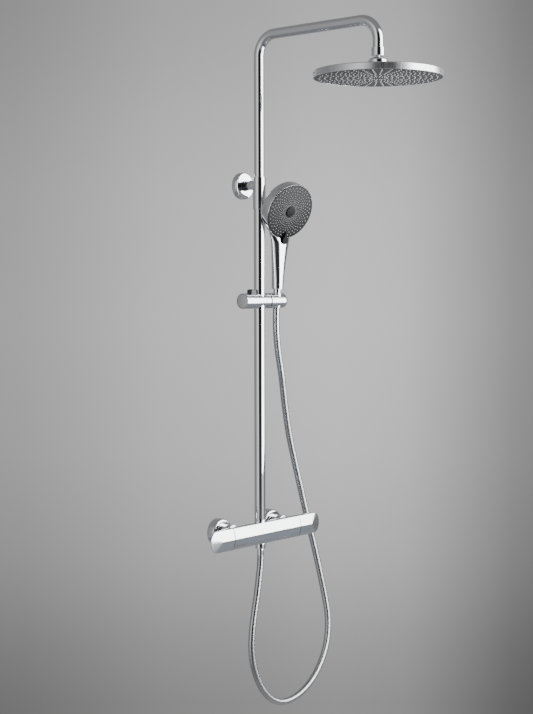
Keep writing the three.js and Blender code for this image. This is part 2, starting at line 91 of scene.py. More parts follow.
# the overhead arm: its height, its bends' radius, its outer end and the ball below it
ARM_Z, ARM_BEND, DROP_Y, BALL_Z = 971, 40, -338.8, 892
HOSE_R = 6.75
# the hose's route, from the outlet under the mixer to the cone of the holder
HOSE = [
    (0, -50, -52.5), (-0.2, -50, -62), (-2.2, -50, -80), (-5.5, -50, -100), (-12, -50, -135),
    (-20, -50, -170), (-26, -50, -205), (-27.5, -50, -232), (-25, -50, -258), (-16, -50, -288),
    (1, -50, -319), (26, -50, -346), (60, -49, -363), (95, -48, -366), (134, -46, -358),
    (171, -44, -339), (201, -42, -310), (221, -39, -279), (231, -36, -249), (234, -33, -217),
    (230, -29, -180), (221, -25, -135), (210, -22, -90), (196, -20, -43), (180, -19, 5),
    (155, -19, 80), (139, -20, 125), (119, -23, 180), (105, -28, 218), (91, -34, 256),
    (76, -41, 300), (60, -45, 353), (50.7, -48.6, 395), (48, -50.6, 427), (48, -51.4, 439.6)]


# ---------------------------------------------------------------- mesh helpers
class Build:
    """Vertices and faces of one piece, in millimetres."""

    def __init__(self):
        self.verts, self.faces = [], []

    def add(self, verts, faces):
        base = len(self.verts)
        self.verts += [tuple(v) for v in verts]
        self.faces += [tuple(base + i for i in f) for f in faces]
        return self

    def moved(self, matrix):
        self.verts = [tuple(matrix @ Vector(v)) for v in self.verts]
        return self

    def join(self, *others):
        for o in others:
            self.add(o.verts, o.faces)
        return self


def from_bmesh(bm):
    """The shape of a bmesh, which is freed."""
    out = Build()
    bm.verts.index_update()
    out.verts = [tuple(v.co) for v in bm.verts]
    out.faces = [tuple(v.index for v in f.verts) for f in bm.faces]
    bm.free()
    return out


def loft(loops, closed=False):
    """Joins loops of equal length, and closes the ends; a loop of one point makes a tip."""
    b = Build()
    starts = []
    for loop in loops:
        starts.append(len(b.verts))
        b.verts += [tuple(p) for p in loop]
    pairs = list(zip(range(len(loops) - 1), range(1, len(loops))))
    if closed:
        pairs.append((len(loops) - 1, 0))
    for i, j in pairs:
        m, n = len(loops[i]), len(loops[j])
        for k in range(max(m, n)):
            k2 = (k + 1) % max(m, n)
            if m == 1:
                b.faces.append((starts[i], starts[j] + k2, starts[j] + k))
            elif n == 1:
                b.faces.append((starts[i] + k, starts[i] + k2, starts[j]))
            else:
                b.faces.append((starts[i] + k, starts[i] + k2, starts[j] + k2, starts[j] + k))
    if not closed:
        if len(loops[0]) > 1:
            b.faces.append(tuple(reversed(range(starts[0], starts[0] + len(loops[0])))))
        if len(loops[-1]) > 1:
            b.faces.append(tuple(range(starts[-1], starts[-1] + len(loops[-1]))))
    return b


CORNER_STEPS, CORNER_SHARE, LEAST_CUT = 3, 0.4, 0.02


def soften(points, r, closed=False, least_turn=14):
    """Rounds the corners of a 2-D outline that turn by `least_turn` degrees or more.

    A corner is cut back by r, or by a share of its shorter side where that is less.
    """
    out = []
    n = len(points)
    for i, corner in enumerate(points):
        if not closed and i in (0, n - 1):
            out.append(tuple(corner))
            continue
        p = np.array(corner, float)
        back = np.array(points[i - 1], float) - p
        ahead = np.array(points[(i + 1) % n], float) - p
        back_length, ahead_length = np.linalg.norm(back), np.linalg.norm(ahead)
        cosine = back @ ahead / (back_length * ahead_length)
        turn = math.degrees(math.pi - math.acos(max(-1, min(1, cosine))))
        cut = min(r, CORNER_SHARE * back_length, CORNER_SHARE * ahead_length)
        if turn < least_turn or cut < LEAST_CUT:
            out.append(tuple(p))
            continue
        start, end = p + back / back_length * cut, p + ahead / ahead_length * cut
        for k in range(CORNER_STEPS + 1):
            t = k / CORNER_STEPS
            out.append(tuple((1 - t) ** 2 * start + 2 * t * (1 - t) * p + t * t * end))
    return out


# where a point at (radius, height, angle) of a turned body lies, for each axis
AXES = {
    "z": lambda r, h, a: (r * math.cos(a), r * math.sin(a), h),
    "x": lambda r, h, a: (h, r * math.cos(a), r * math.sin(a)),
    "out": lambda r, h, a: (r * math.cos(a), -h, r * math.sin(a)),
}


def turned(points, axis="z", at=(0, 0, 0), sides=64, r=0.5, ring=False):
    """Body of revolution from (radius, height) points with softened corners."""
    profile = soften(points, r, closed=ring)
    loops = []
    for radius, h in profile:
        if radius < 1e-6:
            loops.append([AXES[axis](0, h, 0)])
        else:
            loops.append([AXES[axis](radius, h, 2 * math.pi * k / sides) for k in range(sides)])
    loops = [[(x + at[0], y + at[1], z + at[2]) for x, y, z in loop] for loop in loops]
    return loft(loops, closed=ring)


def rod(r, a, b, axis="z", at=(0, 0, 0), sides=48, soft=0.4):
    """Solid cylinder from height a to height b."""
    return turned([(0, a), (r, a), (r, b), (0, b)], axis, at, sides, soft)


def frames(points):
    """Untwisted frames along a list of points: (point, side, up)."""
    pts = [Vector(p) for p in points]
    tangents = []
    for i in range(len(pts)):
        a, b = pts[max(i - 1, 0)], pts[min(i + 1, len(pts) - 1)]
        tangents.append((b - a).normalized())
    side = tangents[0].orthogonal().normalized()
    out = []
    for p, t in zip(pts, tangents):
        side = (side - t * side.dot(t)).normalized()
        out.append((p, side, t.cross(side)))
    return out


def circle(framed, r, sides):
    """Loop of points round a frame."""
    p, side, up = framed
    angles = (2 * math.pi * k / sides for k in range(sides))
    return [p + r * (side * math.cos(a) + up * math.sin(a)) for a in angles]


def between(t, start, end, a, b):
    """The value at t on the straight line from a at start to b at end."""
    return (end - t) / (end - start) * a + (t - start) / (end - start) * b


SPAN_STEPS = 40


def smooth_curve(points):
    """Centripetal Catmull-Rom through the points: its point at a distance, and its length."""
    p = [np.array(q, float) for q in points]
    p = [2 * p[0] - p[1]] + p + [2 * p[-1] - p[-2]]
    fine = []
    for i in range(1, len(p) - 2):
        q = p[i - 1:i + 3]
        knots = [0]
        for j in range(3):
            knots.append(knots[-1] + np.linalg.norm(q[j + 1] - q[j]) ** 0.5)
        for s in range(SPAN_STEPS):
            t = knots[1] + (knots[2] - knots[1]) * s / SPAN_STEPS
            a = [between(t, knots[j], knots[j + 1], q[j], q[j + 1]) for j in range(3)]
            b = [between(t, knots[j], knots[j + 2], a[j], a[j + 1]) for j in range(2)]
            fine.append(between(t, knots[1], knots[2], b[0], b[1]))
    fine.append(p[-2])
    fine = np.array(fine)
    run = np.concatenate([[0], np.cumsum(np.linalg.norm(np.diff(fine, axis=0), axis=1))])

    def point_at(distance):
        return np.array([np.interp(distance, run, fine[:, c]) for c in range(3)]).T

    return point_at, run[-1]


# ---------------------------------------------------------------- materials
# sockets of a colour mix node: its two colours and its result
MIX_A, MIX_B, MIX_RESULT = 6, 7, 2
BROAD_SCALE, BUMP_HEIGHT_M = 9, 0.0001
# nearly all of a noise lies between these two values
NOISE_LOW, NOISE_HIGH = 0.3, 0.7


def material(name, base, rough, grain, scale, metal=0, stretch=(1, 1, 1), bump=0, tint=0.06,
             spec=0.5, streaks=False):
    """Surface with fine grain in its roughness, a varied tint and, if asked, fine bumps.

    The tint varies broadly or, with streaks, as finely as the grain.
    """
    m = bpy.data.materials.new(name)
    m.use_nodes = True
    nt = m.node_tree
    p = nt.nodes["Principled BSDF"]
    p.inputs["Metallic"].default_value = metal
    p.inputs["Specular IOR Level"].default_value = spec
    where = nt.nodes.new("ShaderNodeTexCoord")
    mapping = nt.nodes.new("ShaderNodeMapping")
    mapping.inputs["Scale"].default_value = stretch
    nt.links.new(where.outputs["Object"], mapping.inputs["Vector"])
    fine = nt.nodes.new("ShaderNodeTexNoise")
    fine.inputs["Scale"].default_value = scale
    fine.inputs["Detail"].default_value = 4
    nt.links.new(mapping.outputs["Vector"], fine.inputs["Vector"])
    broad = nt.nodes.new("ShaderNodeTexNoise")
    broad.inputs["Scale"].default_value = BROAD_SCALE
    broad.inputs["Detail"].default_value = 3
    nt.links.new(where.outputs["Object"], broad.inputs["Vector"])
    ramp = nt.nodes.new("ShaderNodeMapRange")
    ramp.inputs["From Min"].default_value = NOISE_LOW
    ramp.inputs["From Max"].default_value = NOISE_HIGH
    ramp.inputs["To Min"].default_value = max(rough - grain, 0.01)
    ramp.inputs["To Max"].default_value = rough + grain
    nt.links.new(fine.outputs["Fac"], ramp.inputs["Value"])
    nt.links.new(ramp.outputs["Result"], p.inputs["Roughness"])
    colour = nt.nodes.new("ShaderNodeMix")
    colour.data_type = "RGBA"
    colour.inputs[MIX_A].default_value = (*[c * (1 - tint) for c in base], 1)
    colour.inputs[MIX_B].default_value = (*[min(c * (1 + tint), 1) for c in base], 1)
    nt.links.new((fine if streaks else broad).outputs["Fac"], colour.inputs[0])
    nt.links.new(colour.outputs[MIX_RESULT], p.inputs["Base Color"])
    if bump:
        b = nt.nodes.new("ShaderNodeBump")
        b.inputs["Strength"].default_value = bump
        b.inputs["Distance"].default_value = BUMP_HEIGHT_M
        nt.links.new(fine.outputs["Fac"], b.inputs["Height"])
        nt.links.new(b.outputs["Normal"], p.inputs["Normal"])
    return m


LOOKS = {
    "chrome": dict(base=(0.86, 0.87, 0.89), rough=0.045, grain=0.02, scale=260, metal=1, tint=0.03),
    "satin_chrome": dict(base=(0.83, 0.85, 0.88), rough=0.16, grain=0.05, scale=420, metal=1,
                         stretch=(0.05, 1, 1), bump=0.2, tint=0.16, streaks=True),
    "hose_metal": dict(base=(0.56, 0.57, 0.585), rough=0.15, grain=0.04, scale=500, metal=1,
                       tint=0.05),
    "brass": dict(base=(0.72, 0.56, 0.27), rough=0.3, grain=0.08, scale=300, metal=1, bump=0.1),
    "steel": dict(base=(0.82, 0.83, 0.85), rough=0.3, grain=0.08, scale=500, metal=1,
                  stretch=(1, 1, 0.1), bump=0.1),
    "black_plastic": dict(base=(0.003, 0.003, 0.0035), rough=0.1, grain=0.04, scale=300, spec=0.07),
    "grey_plate": dict(base=(0.017, 0.0175, 0.019), rough=0.36, grain=0.06, scale=600, bump=0.08,
                       spec=0.2),
    "white_plastic": dict(base=(0.8, 0.8, 0.78), rough=0.45, grain=0.06, scale=300, bump=0.05),
    # painted shade: chrome darkened to stand for the shadowed wall that the bracket arm mirrors
    "painted_shade_chrome": dict(base=(0.2, 0.205, 0.215), rough=0.06, grain=0.02, scale=260, metal=1,
                          tint=0.03),
    "brushed_rim": dict(base=(0.8, 0.81, 0.83), rough=0.3, grain=0.05, scale=420, metal=1,
                        stretch=(1, 1, 0.05), bump=0.2, tint=0.1, streaks=True),
    "centre_plate": dict(base=(0.008, 0.008, 0.009), rough=0.3, grain=0.05, scale=600, spec=0.12),
    "rain_plate": dict(base=(0.055, 0.056, 0.059), rough=0.4, grain=0.06, scale=600, bump=0.08),
    "rain_nozzle": dict(base=(0.48, 0.485, 0.49), rough=0.5, grain=0.06, scale=500, bump=0.1),
    "rubber": dict(base=(0.03, 0.03, 0.032), rough=0.7, grain=0.08, scale=500, bump=0.2),
    "silicone": dict(base=(0.33, 0.335, 0.345), rough=0.5, grain=0.06, scale=500, bump=0.1,
                     spec=0.2),
}
MATERIALS = {name: material(name, **look) for name, look in LOOKS.items()}
# the slot and the body of each CAD node, from the record
SLOT = {s["node"]: s["material_slot"] for s in frame["record"]["subparts"]}
BODY = {n: b for b, nodes in frame["record"]["behaviour"]["bodies"].items() for n in nodes}
for node, obj in frame["nodes"].items():
    obj.data.materials.clear()
    obj.data.materials.append(MATERIALS[SLOT[node]])


def make(name, build, angle=32):
    """Mesh object of a shape: welded, facing outward, smooth except at edges over the angle."""
    me = bpy.data.meshes.new(name)
    me.from_pydata([tuple(c * MM for c in v) for v in build.verts], [], build.faces)
    bm = bmesh.new()
    bm.from_mesh(me)
    bmesh.ops.remove_doubles(bm, verts=bm.verts, dist=1e-7)
    bmesh.ops.recalc_face_normals(bm, faces=bm.faces)
    bm.to_mesh(me)
    bm.free()
    me.polygons.foreach_set("use_smooth", [True] * len(me.polygons))
    me.set_sharp_from_angle(angle=math.radians(angle))
    obj = bpy.data.objects.new(name, me)
    bpy.context.scene.collection.objects.link(obj)
    return obj


def carve(body, *cutters):
    """The body with closed cutters taken away."""
    objects = [make(f"carve_{i}", b) for i, b in enumerate((body, *cutters))]
    for cutter in objects[1:]:
        m = objects[0].modifiers.new("cut", "BOOLEAN")
        m.operation = "DIFFERENCE"
        m.solver = "EXACT"
        m.object = cutter
    shape = objects[0].evaluated_get(bpy.context.evaluated_depsgraph_get()).to_mesh()
    out = Build()
    out.verts = [tuple(c / MM for c in v.co) for v in shape.vertices]
    out.faces = [tuple(p.vertices) for p in shape.polygons]
    for o in objects:
        bpy.data.objects.remove(o)
    return out


def skin(node, build, angle=32, slot=None, look=None):
    """The shown piece that stands for a CAD node and moves with its body."""
    obj = make(node + "_skin", build, angle)
    obj.data.materials.append(MATERIALS[look or slot or SLOT[node]])
    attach(obj, BODY[node])
    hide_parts(node)
    return obj


def extra(name, build, body, slot, angle=32, look=None):
    """A shown piece with no CAD node of its own."""
    obj = make(name, build, angle)
    obj.data.materials.append(MATERIALS[look or slot])
    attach(obj, body)
    return obj


# ---------------------------------------------------------------- hose
RIB_PITCH, RIB_DEPTH, HOSE_SIDES = 2.6, 0.2, 24
# each stretch: the share of the hose at its end, and the bodies and places at its two ends
HOSE_PARTS = [
    ("hose_lower", 0.53, "column", "slider_bush", (0.003, 0, 0), (0.234, 0, 0)),
    ("hose_rise", 0.75, "slider_bush", "slider", (0, 0, -0.14), (0, 0, 0.13)),
    ("hose_upper", 0.925, "slider", "holder", (0, 0, 0.132), (0, 0, 0.343)),
    ("hose_top", 1, "holder", "hose_end", (0, 0, 0.348), (0, 0, 0.436)),
]
hose_at, hose_length = smooth_curve(HOSE)
ribs = int(hose_length // RIB_PITCH)
# each rib is a groove and then a crest: share of the pitch, and radius
rib = ((0, HOSE_R - RIB_DEPTH), (0.16, HOSE_R), (0.84, HOSE_R))
stations, radii = [], []
for i in range(ribs):
    for offset, r in rib:
        stations.append((i + offset) * hose_length / ribs)
        radii.append(r)
stations.append(hose_length)
radii.append(HOSE_R - RIB_DEPTH)
centre = hose_at(np.array(stations))
rings = frames(centre)
grooves = range(0, len(stations), len(rib))
cuts = [0]
for _, share, *_ in HOSE_PARTS:
    cuts.append(min(grooves, key=lambda k: abs(stations[k] - share * hose_length)))
for (name, _, body_a, body_b, start, end), a, b in zip(HOSE_PARTS, cuts, cuts[1:]):
    loops = [circle(ring, r, HOSE_SIDES) for ring, r in zip(rings[a:b + 1], radii[a:b + 1])]
    piece = make(name + "_skin", loft(loops), 50)
    piece.data.materials.append(MATERIALS["hose_metal"])
    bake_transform(piece)
    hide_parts(name)


# ---------------------------------------------------------------- wall inlets
def hex_nut(across, at, levels, bore, sides=72):
    """Hex nut on the 'out' axis, with levels of (distance from the wall, largest radius)."""
    corner = math.pi / 6

    def loop(distance, largest):
        points = []
        for k in range(sides):
            a = 2 * math.pi * k / sides + corner
            off_flat = a % (2 * corner) - corner
            r = min(across / 2 / math.cos(off_flat), largest)
            points.append((at[0] + r * math.cos(a), at[1] - distance, at[2] + r * math.sin(a)))
        return points

    loops = [loop(distance, largest) for distance, largest in levels]
    loops += [loop(distance, bore) for distance in (levels[-1][0], levels[0][0])]
    return loft(loops, closed=True)


for side, x in (("left", -INLET_X), ("right", INLET_X)):
    inlet = (x, 0, 0)
    skin(f"inlet_rosette_{side}", turned([
        (26.5, 0), (26.5, 14.4), (25.9, 16.9), (24.2, 18.5), (13.4, 18.5), (13.4, 16.8),
        (23.2, 16.8), (25, 14), (25, 0)], "out", inlet, 96, 0.9, ring=True))
    skin(f"union_nut_{side}", hex_nut(30, inlet, [
        (19, 15.2), (19.4, 16), (20.3, 16.9), (31.3, 16.9), (32.1, 16), (32.5, 15.2)], 9.8), 24)


# ---------------------------------------------------------------- mixer
def bar_outline(steps):
    """Outline of the bar in (y, z): front edges and ridge, then the elliptical back."""
    top, bottom = MIXER_Z + MIXER_HALF_H, MIXER_Z - MIXER_HALF_H
    points = [(EDGE_Y, bottom), (RIDGE_Y, MIXER_Z), (EDGE_Y, top)]
    for i in range(steps + 1):
        a = math.pi / 2 - math.pi * i / steps
        y = RIM_Y + (BACK_Y - RIM_Y) * math.cos(a)
        points.append((y, MIXER_Z + MIXER_HALF_H * math.sin(a)))
    return points


def bar_loops(levels):
    """Loops of the bar's outline with soft corners, at levels of (x, share that it grows)."""
    middle = np.array([-53.5, MIXER_Z])
    outline = soften(bar_outline(28), 0.9, closed=True, least_turn=10)
    loops = []
    for x, grow in levels:
        points = [middle + (np.array(p) - middle) * (1 + grow) for p in outline]
        loops.append([(x, y, z) for y, z in points])
    return loops


# the bar's ends draw in a little towards the seams: distance from the seam, and growth
END_ROUNDING = [(0.2, -0.02), (0.35, -0.008), (0.65, 0)]
# share by which the black rings of painted shade in the seams are drawn smaller than the bar
SEAM_SHADE_RING_SHRINK = -0.035
body = loft(bar_loops([(inward - MIXER_SEAM, grow) for inward, grow in END_ROUNDING]
                      + [(MIXER_SEAM - inward, grow) for inward, grow in END_ROUNDING[::-1]]))
for x in (-INLET_X, INLET_X):
    body.join(turned([(0, 29.3), (12.7, 29.3), (12.7, 30.3), (9.2, 30.3), (9.2, 33), (17.5, 33),
                      (17.5, 46), (0, 46)], "out", (x, 0, 0), 72, 0.7))
skin("mixer_body", body, 12)
# painted shade: a black ring fills each seam between the bar and a handle, standing for the dark
# shadow in the gap
for side, sign in (("left", -1), ("right", 1)):
    ends = sorted(sign * x for x in (MIXER_SEAM - END_ROUNDING[0][0], MIXER_SEAM + SEAM_GAP))
    extra(f"seam_shade_ring_{side}", loft(bar_loops([(x, SEAM_SHADE_RING_SHRINK) for x in ends])),
          "column", "black_plastic", 12)


def hull(points, bevel=0.5, sharp=9):
    """Convex body over points, with its sharp edges rounded."""
    bm = bmesh.new()
    for p in points:
        bm.verts.new(p)
    out = bmesh.ops.convex_hull(bm, input=bm.verts)
    loose = [v for v in out["geom_interior"] if isinstance(v, bmesh.types.BMVert)]
    bmesh.ops.delete(bm, geom=loose, context="VERTS")
    bmesh.ops.dissolve_limit(bm, angle_limit=math.radians(0.4), verts=bm.verts, edges=bm.edges)
    edges = [e for e in bm.edges if len(e.link_faces) == 2
             and e.calc_face_angle(0) > math.radians(sharp)]
    bmesh.ops.bevel(bm, geom=edges, offset=bevel, segments=2, profile=0.6, affect="EDGES",
                    clamp_overlap=True)
    return from_bmesh(bm)


RIDGE_END = 132.4
# the handle's rounded end, layer by layer: y, the arc's middle, its depth and half its height
HANDLE_END = [(EDGE_Y, 146, 15.5, MIXER_HALF_H), (-65, 145, 14.5, MIXER_HALF_H),
              (-58, 137, 14, 19.6), (-48, 124, 15, 15.5)]


def handle(sign, steps=40):
    """Handle on the left (-1) or the right (1): the bar's outline drawn out to a rounded end."""
    points = [(sign * (MIXER_SEAM + SEAM_GAP), y, z) for y, z in bar_outline(32)]
    points.append((sign * RIDGE_END, RIDGE_Y, MIXER_Z))
    for y, x, depth, half in HANDLE_END:
        for i in range(steps + 1):
            a = math.pi / 2 - math.pi * i / steps
            points.append((sign * (x + depth * math.cos(a)), y, MIXER_Z + half * math.sin(a)))
    return hull(points)


skin("flow_handle", handle(-1), 9)
skin("temperature_handle", handle(1), 9)

# ---------------------------------------------------------------- riser, arm and bracket
riser = (0, RISER_Y, 0)
skin("lower_riser_tube", turned([(10.3, 5.4), (11, 5.4), (11, 689.5), (10.3, 689.5)], "z", riser,
                                64, 0.2, ring=True))


def arm_path(low, steps=24):
    """Up inside the lower tube, over two quarter bends and down to `low`."""
    points = [(0, RISER_Y, 630), (0, RISER_Y, 700)]
    bend = [math.pi / 2 * i / steps for i in range(steps + 1)]
    for a in bend:
        y = RISER_Y - ARM_BEND * (1 - math.cos(a))
        points.append((0, y, ARM_Z - ARM_BEND * (1 - math.sin(a))))
    for a in bend:
        y = DROP_Y + ARM_BEND * (1 - math.sin(a))
        points.append((0, y, ARM_Z - ARM_BEND * (1 - math.cos(a))))
    return points + [(0, DROP_Y, low)]


def pipe(points, r, bore, sides=56):
    """Tube along the points, open from end to end."""
    rings = frames(points)
    loops = [circle(ring, r, sides) for ring in rings]
    loops += [circle(ring, bore, sides) for ring in reversed(rings)]
    return loft(loops, closed=True)


skin("upper_riser_arm", pipe(arm_path(906.3), 10, 9), 40)
wall = (0, 0, BRACKET_Z)
skin("bracket_rosette", turned([
    (26.5, 0), (26.5, 9.8), (25.6, 11.6), (24, 12.4), (8.9, 12.4), (8.9, 10.8), (23.2, 10.8),
    (25, 9.4), (25, 0)], "out", wall, 96, 0.8, ring=True))
# the arm is drawn in chrome darkened as painted shade, for the shadowed wall it mirrors
skin("bracket_arm", turned([
    (0, 12.5), (6.3, 12.5), (6.3, 7.5), (8.5, 7.5), (8.5, 12.7), (10, 12.7), (10, 15), (8.5, 15),
    (8.5, 27.1), (0, 27.1)], "out", wall, 64, 0.5), look="painted_shade_chrome")
sleeve = turned([(11.3, 634), (12.5, 634), (12.5, 697), (10.3, 697), (10.3, 690), (11.3, 690)],
                "z", riser, 72, 0.5, ring=True)
clamp = (0, BRACKET_Y, BRACKET_Z)
sleeve.join(turned([(0, -10.2), (6.2, -10.2), (6.2, -12), (9.5, -12), (9.5, 12), (0, 12)], "x",
                   clamp, 64, 0.5))
skin("bracket_sleeve", sleeve)
skin("bracket_cap", rod(5.9, -12, -10.5, "x", clamp, 48, 0.3))

# ---------------------------------------------------------------- slider and holder
for side, sign in (("upper", 1), ("lower", -1)):
    inner, outer = (SLIDER_Z + sign * h for h in (0.2, 7.6))
    skin(f"slider_bush_{side}", turned([
        (11.3, inner), (13, inner), (13, outer), (11.3, outer)], "z", riser, 64, 0.4, ring=True))
barrel = (0, RISER_Y, SLIDER_Z)
BUTTON_X, BUTTON_HALF, BUTTON_DEEP, BUTTON_GAP = -23, 7.2, 6.2, 0.4
CROWN_STEPS = 16


def button(half, deep, low, crown_z, crown, inset):
    """Block with a crowned top, whose front and back edges are cut back by `inset`."""
    rows = []
    for y, cut in ((-deep, inset), (-deep + inset, 0), (deep - inset, 0), (deep, inset)):
        side = half - cut
        outline = [(-side, low), (side, low), (side, crown_z)]
        for k in range(1, CROWN_STEPS):
            a = math.pi * k / CROWN_STEPS
            outline.append((side * math.cos(a), crown_z + (crown - cut) * math.sin(a)))
        outline.append((-side, crown_z))
        rows.append([(BUTTON_X + x, RISER_Y + y, z) for x, z in outline])
    return loft(rows)


def along(start, end, step=2.4):
    """Points of the barrel's straight side, close enough together to cut cleanly."""
    count = max(round(abs(end - start) / step), 1)
    return [(BARREL_R, start + (end - start) * i / count) for i in range(count + 1)]


# what cuts right through the barrel reaches from LOW to HIGH
LOW, HIGH = SLIDER_Z - 24, SLIDER_Z + 26
slider = turned([(0, -46.5), (13.2, -46.5), (13.2, -50.5)] + along(-50.5, 20.8) + [(0, 20.8)],
                "x", barrel, 96, 0.5)
riser_bore = rod(13.3, LOW, HIGH, "z", riser, 72, 0)
pocket = button(BUTTON_HALF + BUTTON_GAP, BUTTON_DEEP + BUTTON_GAP, 456, 490, 2, 0)
skin("slider_body", carve(slider, riser_bore, pocket), 30)
skin("slider_end_cap", turned([(0, -50.2), (12.9, -50.2), (12.9, -46.8), (0, -46.8)], "x",
                              barrel, 72, 0.3))
skin("release_button", button(BUTTON_HALF, BUTTON_DEEP, 459.6, 474, 3, 0.6), 30,
     slot="grey_plate", look="rain_plate")

# ---------------------------------------------------------------- hand shower
# the cone of the holder, the hand shower standing in it, and the middle of its spray face
CONE = (Matrix.Translation((HOLDER_X, HOLDER_Y, SLIDER_Z))
        @ Matrix.Rotation(math.radians(HOLDER_LEAN), 4, "X"))
HAND = CONE @ Matrix.Rotation(math.radians(-7.6), 4, "Z")
FACE = HAND @ Matrix.Translation((0, -28, 176.7)) @ Matrix.Rotation(math.radians(18.5), 4, "X")


def head(points, sides=128, r=0.5, ring=False):
    """Turned about the spray axis, with heights that run back from the face."""
    return turned([(a, -t) for a, t in points], "out", (0, 0, 0), sides, r, ring).moved(FACE)


HOLDER_DOME_X, HOLDER_END_X, HOLDER_DOME_DROP = 64, 71, 5.9
DOME_STEPS = 8
holder_profile = [(0, 22.8)] + along(22.8, HOLDER_DOME_X)
for i in range(1, DOME_STEPS + 1):
    a = math.pi / 2 * i / DOME_STEPS
    holder_profile.append((BARREL_R - HOLDER_DOME_DROP * (1 - math.cos(a)),
                           HOLDER_DOME_X + (HOLDER_END_X - HOLDER_DOME_X) * math.sin(a)))
holder_profile.append((0, HOLDER_END_X))
cone_hole = turned([(0, -30), (8.65, -30), (8.95, -15), (9.65, 17), (9.9, 30), (0, 30)], "z",
                   (0, 0, 0), 72, 0).moved(CONE)
# the hose slips into the cone through a slot that is open towards the wall
left, right = HOLDER_X - HOSE_R - 0.35, HOLDER_X + HOSE_R + 0.35
hose_slot = loft([[(left, y, LOW), (right, y, LOW), (right, y, HIGH), (left, y, HIGH)]
                  for y in (HOLDER_Y, -30)])
holder = turned(holder_profile, "x", barrel, 96, 0.5)
skin("handset_holder", carve(holder, cone_hole, hose_slot), 30)
# painted shade: a black ring in the seam between the barrel and the holder stands for the dark
# shadow in the gap
extra("holder_seam_shade_ring", turned([(8, 20.9), (15.2, 20.9), (15.2, 22.7), (8, 22.7)], "x", barrel, 72,
                              0.2, ring=True), "slider", "black_plastic")
cone_nut = skin("hose_cone_nut", turned([
    (4.5, -13.5), (8.6, -13.5), (9.25, 14.6), (7.5, 15.8), (7.5, 32), (4.5, 32)], "z",
    (0, 0, 0), 56, 0.4, ring=True).moved(CONE))

# sections of the handle: height above the cone, half width, reach to the front and to the back
SECTIONS = [
    (22.9, 10.6, 10.6, 10.6), (23.4, 11.3, 11.3, 11.3), (24.4, 11.6, 11.6, 11.6),
    (41, 12.4, 11.7, 11.7), (61, 14.3, 11.8, 11.7), (81, 16.4, 12, 11.7), (101, 18.8, 12.6, 11.4),
    (113, 20.6, 13.2, 10.8), (119, 21.9, 12.8, 10.3), (123, 23, 11, 9.8), (130, 26, 9, 8.6),
    (138, 30, 8, 6), (146, 33.5, 8, 3), (154, 36, 8, -0.5), (162, 37, 8, -3.5)]


def handle_section(height, sides=72):
    """Ellipse of the handle at a height, worked out between the sections beside it."""
    heights, *measures = zip(*SECTIONS)
    half, front, back = (np.interp(height, heights, values) for values in measures)
    loop = []
    for k in range(sides):
        a = 2 * math.pi * k / sides
        y = (back - front) / 2 + (back + front) / 2 * math.sin(a)
        loop.append((half * math.cos(a), y, height))
    return loop


def flat_back(build, y, bevel):
    """Cuts away what lies behind a plane parallel to the wall and rounds the cut's edge."""
    me = bpy.data.meshes.new("flat")
    me.from_pydata(build.verts, [], build.faces)
    bm = bmesh.new()
    bm.from_mesh(me)
    bmesh.ops.remove_doubles(bm, verts=bm.verts, dist=1e-4)
    cut = bmesh.ops.bisect_plane(bm, geom=bm.verts[:] + bm.edges[:] + bm.faces[:],
                                 plane_co=(0, y, 0), plane_no=(0, 1, 0), clear_outer=True)
    rim = [e for e in cut["geom_cut"] if isinstance(e, bmesh.types.BMEdge)]
    bmesh.ops.holes_fill(bm, edges=rim, sides=0)
    rim = [e for e in bm.edges if all(abs(v.co.y - y) < 1e-3 for v in e.verts)
           and len(e.link_faces) == 2 and e.calc_face_angle(0) > 0.2]
    bmesh.ops.bevel(bm, geom=rim, offset=bevel, segments=3, profile=0.5, affect="EDGES",
                    clamp_overlap=True)
    return from_bmesh(bm)


base_heights = [s[0] for s in SECTIONS[:3]]
shell = loft([handle_section(h) for h in (*base_heights, *np.linspace(26, 162, 64))]).moved(HAND)
disc = head([(0, 3.2), (55.3, 3.2), (55.3, 1.3), (55.6, 1.2), (56.5, 2.4), (56.5, 20.6),
             (54.6, 23.8), (48, 26), (32, 27.6), (0, 28.6)], r=2.4)
shell.join(flat_back(disc, HEAD_BACK_Y, 1.2))
skin("handset_shell", shell, 28)
skin("handset_rim", head([(54.4, 0.7), (54.7, 0.3), (54.9, 0.3), (55.2, 0.8), (55.2, 3), (54.4, 3)],
                         r=0.2, ring=True), slot="grey_plate")
skin("handset_face", head([(0, 0.9), (54.3, 0.9), (54.3, 3), (0, 3)], r=0.3), slot="grey_plate")
skin("handset_centre", head([(0, -0.8), (9.2, -0.8), (10, -0.2), (10, 0.6), (0, 0.6)], r=0.3),
     slot="grey_plate", look="centre_plate")
# rings of nozzles, each turned by half a step from the last and larger towards the rim
NOZZLE_RINGS = (14, 17, 20.4, 24.2, 28.4, 33, 38, 43.4, 49)
NOZZLES_ROUND = 36
nozzles = Build()
for i, r in enumerate(NOZZLE_RINGS):
    size = 0.55 + 0.017 * r
    nozzle = [(0, -0.1), (size * 0.6, -0.15), (size, -0.95), (0, -1.2)]
    for k in range(NOZZLES_ROUND):
        a = 2 * math.pi * (k + 0.5 * i) / NOZZLES_ROUND
        nozzles.join(turned(nozzle, "out", (r * math.cos(a), 0, r * math.sin(a)), 8, 0))
extra("handset_nozzles", nozzles.moved(FACE), "handset", "silicone", 40)

SELECTOR = HAND @ Matrix.Translation((0, -12.4, 113)) @ Matrix.Rotation(math.radians(8.7), 4, "X")


